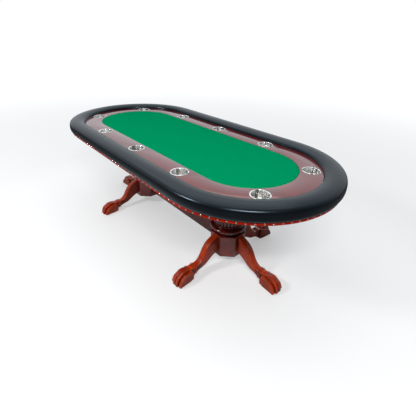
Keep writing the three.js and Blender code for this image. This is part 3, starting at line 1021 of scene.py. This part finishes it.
# ---- Studio ----

FLOOR_SIZE = 60
FLOOR_PALE = ((0.61, 0.61, 0.61, 1), (0.64, 0.64, 0.64, 1))
FLOOR_UNDERLIGHT = (0.2, 0.2, 0.2, 1)
FLOOR_REFLECTED = (0.17, 0.17, 0.17, 1)
FLOOR_NEAR_GLOW = 0.37
REFLECTION_FADE = (0.9, 1.7)
GLOW_FADE = (2.0, 9.0)
BRIGHT_END = (-0.72, 0.65, 0.25)
ROOM_COLOUR = (0.88, 0.95, 1.0, 1)
ROOM_DIM = 0.12
ROOM_BRIGHT = 0.86
CAMERA_PLACE = (1.7461, -1.2968, 1.4479)
CAMERA_AZIMUTH = math.radians(48.045)
CAMERA_ELEVATION = math.radians(19.411)
CAMERA_ROLL = math.radians(1.563)
CAMERA_LENS = 26.757
CAMERA_SHIFT = (-0.0031, -0.1539)


def studio_floor():
    """A pale floor with soft shadows.

    It throws little light back up at the table, and is darker in its reflections where it is far
    away. To the camera it glows a little, and more with distance, until it meets the white behind.
    """
    bpy.ops.object.select_all(action="DESELECT")
    bpy.ops.mesh.primitive_plane_add(size=FLOOR_SIZE, location=(0, 0, -0.1 * MM))
    floor = bpy.context.object
    floor.name = "studio_floor"
    material, tree, shader, place = new_finish("pale_floor", Specular_IOR_Level=0.0, Roughness=0.9)
    pale = mixed(tree, noise(tree, place, 0.8, 3.0), *FLOOR_PALE)
    path = node(tree, "ShaderNodeLightPath").outputs
    spread = mixed(tree, path["Is Diffuse Ray"], pale, FLOOR_UNDERLIGHT)
    away = node(tree, "ShaderNodeVectorMath", {0: place}, operation="LENGTH").outputs["Value"]
    beyond = math_node(tree, "MULTIPLY", ranged(tree, away, *REFLECTION_FADE), path["Is Glossy Ray"])
    tree.links.new(mixed(tree, beyond, spread, FLOOR_REFLECTED), shader.inputs["Base Color"])
    shader.inputs["Emission Color"].default_value = (1, 1, 1, 1)
    paler = ranged(tree, away, *GLOW_FADE, FLOOR_NEAR_GLOW, 1.0)
    glow = math_node(tree, "MULTIPLY", path["Is Camera Ray"], paler)
    tree.links.new(glow, shader.inputs["Emission Strength"])
    floor.data.materials.append(material)


def studio_world():
    """A room with one bright end, past the table's far left corner, and plain white behind."""
    world = bpy.data.worlds.new("studio")
    bpy.context.scene.world = world
    world.use_nodes = True
    tree = world.node_tree
    seen = tree.nodes["Background"]
    seen.inputs["Color"].default_value = (1, 1, 1, 1)
    seen.inputs["Strength"].default_value = 1.0
    way = node(tree, "ShaderNodeTexCoord").outputs["Generated"]
    facing = node(
        tree, "ShaderNodeVectorMath", {0: way, 1: BRIGHT_END}, operation="DOT_PRODUCT"
    ).outputs["Value"]
    strength = ranged(tree, facing, -0.25, 0.95, ROOM_DIM, ROOM_BRIGHT)
    light = node(tree, "ShaderNodeBackground", {"Color": ROOM_COLOUR, "Strength": strength})
    path = node(tree, "ShaderNodeLightPath")
    mix = node(
        tree, "ShaderNodeMixShader",
        {0: path.outputs["Is Camera Ray"], 1: light.outputs[0], 2: seen.outputs[0]},
    )
    tree.links.new(mix.outputs[0], tree.nodes["World Output"].inputs["Surface"])


def soft_box(name, place, aim, size, power):
    data = bpy.data.lights.new(name, "AREA")
    data.shape = "RECTANGLE"
    data.size, data.size_y = size
    data.energy = power
    lamp = bpy.data.objects.new(name, data)
    lamp.location = place
    lamp.rotation_euler = (Vector(aim) - Vector(place)).to_track_quat("-Z", "Y").to_euler()
    bpy.context.collection.objects.link(lamp)


def studio_lights():
    """A narrow box for the armrest's highlight, a side box for the legs and a wide one above."""
    soft_box("front_box", place=(2.8, -2.1, 3.4), aim=(0.9, -0.4, 0.7), size=(1.8, 0.26), power=100)
    soft_box("side_box", place=(-0.7, -3.2, 2.9), aim=(0.5, -0.4, 0.1), size=(0.6, 0.6), power=62)
    soft_box("overhead_box", place=(-0.7, 0.4, 4.0), aim=(0, 0, 0.7), size=(4.6, 4.2), power=40)


def studio_camera():
    """Stands off the front right corner, between seated and standing eye height."""
    ahead = Vector((
        -math.sin(CAMERA_AZIMUTH) * math.cos(CAMERA_ELEVATION),
        math.cos(CAMERA_AZIMUTH) * math.cos(CAMERA_ELEVATION),
        -math.sin(CAMERA_ELEVATION),
    ))
    level = Vector((math.cos(CAMERA_AZIMUTH), math.sin(CAMERA_AZIMUTH), 0))
    upright = level.cross(ahead)
    right = level * math.cos(CAMERA_ROLL) + upright * math.sin(CAMERA_ROLL)
    up = upright * math.cos(CAMERA_ROLL) - level * math.sin(CAMERA_ROLL)
    data = bpy.data.cameras.new("camera")
    data.sensor_width = 36
    data.lens = CAMERA_LENS
    data.shift_x, data.shift_y = CAMERA_SHIFT
    camera = bpy.data.objects.new("camera", data)
    turn = Matrix((right, up, -ahead)).transposed().to_4x4()
    camera.matrix_world = Matrix.Translation(CAMERA_PLACE) @ turn
    bpy.context.collection.objects.link(camera)
    bpy.context.scene.camera = camera


armrest()
edge_band()
nail_heads()
racetrack()
playing_cloth()
cup_holders()
pedestals()
stretcher_board()
finish_cad_nodes()
studio_floor()
studio_world()
studio_lights()
studio_camera()
bpy.context.scene.view_settings.view_transform = "Standard"
